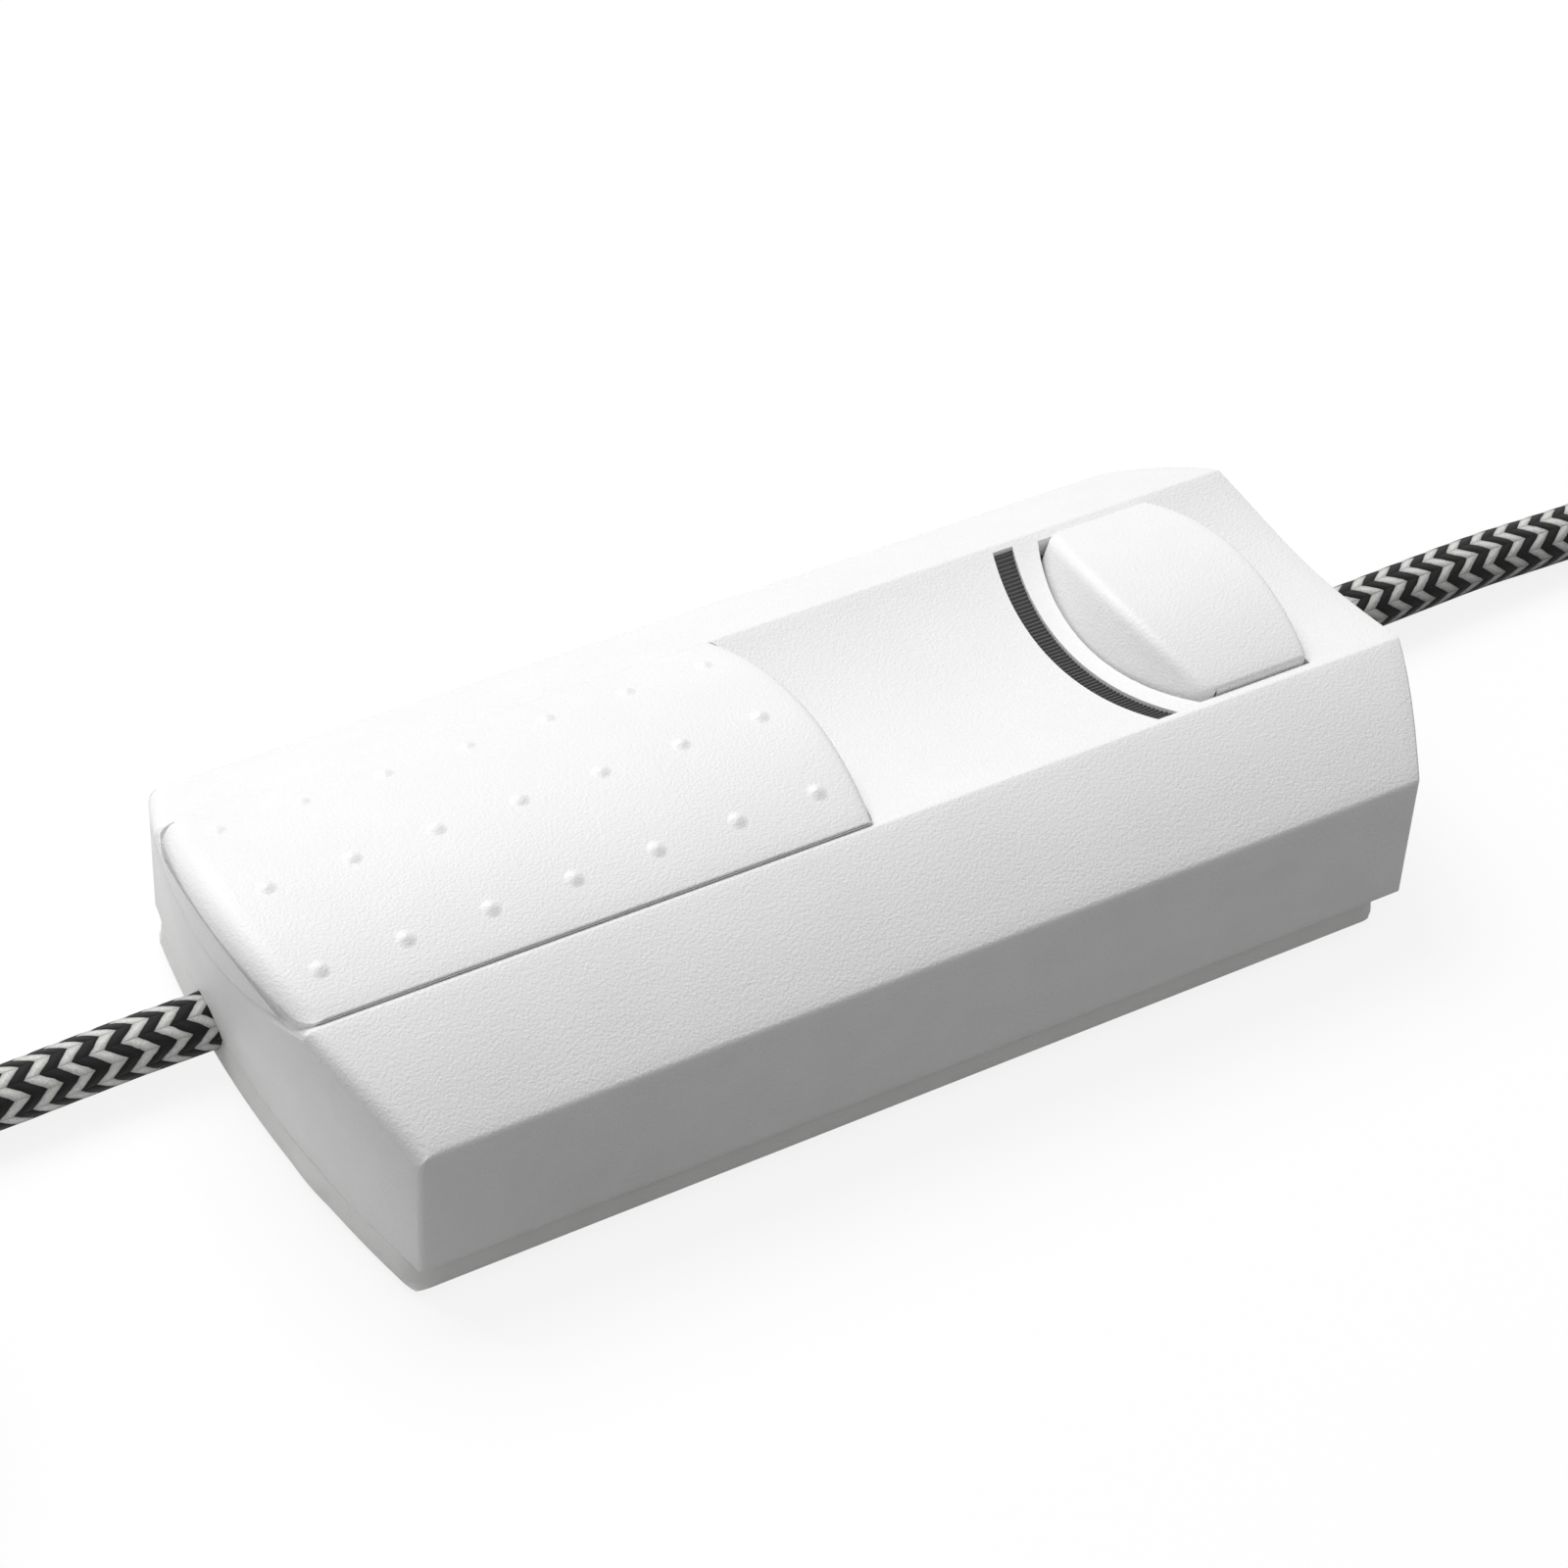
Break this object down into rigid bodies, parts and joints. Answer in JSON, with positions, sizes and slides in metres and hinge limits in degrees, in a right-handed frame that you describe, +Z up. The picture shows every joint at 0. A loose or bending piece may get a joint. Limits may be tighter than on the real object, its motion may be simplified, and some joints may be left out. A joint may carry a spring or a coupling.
{
  "type": "inline foot dimmer",
  "caption": "Inline foot dimmer on a textile covered lamp lead, with a broad domed finger slider in a hollowed top, a sprung push button and an indicator slot.",
  "frame": {"origin": "on the floor, under the middle of the housing", "axes": "+X along the housing from the mains lead to the lamp lead, +Z up"},
  "size_m": [0.4755, 0.058, 0.0299],
  "materials": {
    "white_case": "fine grained matte",
    "white_base": "fine grained matte",
    "white_plug": "satin",
    "grey_nylon": "satin",
    "ivory_plastic": "satin",
    "black_plastic": "satin",
    "red_plastic": "gloss",
    "smoked_lens": "satin",
    "neon_glass": "clear",
    "clear_glass": "clear",
    "rubber": "matte",
    "board_green": "satin",
    "resistive_track": "matte",
    "tan_ceramic": "satin",
    "ferrite": "matte",
    "enamelled_copper": "gloss enamel",
    "tinned_copper": "satin",
    "zinc_steel": "satin",
    "spring_steel": "satin",
    "aluminium": "brushed",
    "brass": "satin",
    "textile_braid": "black and off white zigzag braid",
    "brown_insulation": "satin",
    "blue_insulation": "satin"
  },
  "bodies": {
    "housing": {"upper_shell": "white_case", "base_plate": "white_base", "rubber_feet": "rubber", "housing_screws": "zinc_steel", "pot_body": "zinc_steel", "pot_track": "resistive_track", "button_spring": "spring_steel", "switch_body": "black_plastic", "indicator_lens": "smoked_lens", "pilot_lamp": "neon_glass", "circuit_board": "board_green", "board_screws": "zinc_steel", "terminal_blocks": "ivory_plastic", "terminal_screws": "brass", "cord_clamps": "ivory_plastic", "clamp_screws": "zinc_steel", "triac": "black_plastic", "triac_screw": "zinc_steel", "heat_sink": "aluminium", "choke_core": "ferrite", "choke_winding": "enamelled_copper", "film_capacitors": "red_plastic", "resistors": "tan_ceramic", "fuse_tube": "clear_glass", "fuse_clips": "brass", "lead_tails": "textile_braid", "brown_cores": "brown_insulation", "blue_cores": "blue_insulation", "mains_lead": "textile_braid", "mains_hank": "textile_braid", "mains_tie": "rubber", "plug_lead": "textile_braid", "plug_body": "white_plug", "plug_sleeves": "white_plug", "plug_pins": "brass", "lamp_lead": "textile_braid", "lamp_hank": "textile_braid", "lamp_tie": "rubber", "lamp_cores": "brown_insulation", "core_ferrules": "tinned_copper"},
    "slider": {"slider_plate": "white_case", "slider_carrier": "grey_nylon"},
    "wiper": {"pot_wiper": "grey_nylon"},
    "button": {"push_button": "white_case"},
    "plunger": {"switch_plunger": "grey_nylon"}
  },
  "joints": [
    {"name": "dim_slide", "type": "slide", "parent": "housing", "child": "slider", "axis": [1, 0, 0], "range_m": [0, 0.028]},
    {"name": "wiper_slide", "type": "slide", "parent": "housing", "child": "wiper", "axis": [1, 0, 0], "range_m": [0, 0.028]},
    {"name": "button_press", "type": "slide", "parent": "housing", "child": "button", "axis": [0, 0, -1], "range_m": [0, 0.002], "stiffness_N_per_m": 600, "springref_m": -0.001, "deforming": ["button_spring"]},
    {"name": "plunger_press", "type": "slide", "parent": "housing", "child": "plunger", "axis": [0, 0, -1], "range_m": [0, 0.002], "stiffness_N_per_m": 100, "springref_m": -0.001}
  ],
  "couplings": [
    {"joint": "wiper_slide", "follows": "dim_slide", "ratio": 1},
    {"joint": "plunger_press", "follows": "button_press", "ratio": 1}
  ]
}
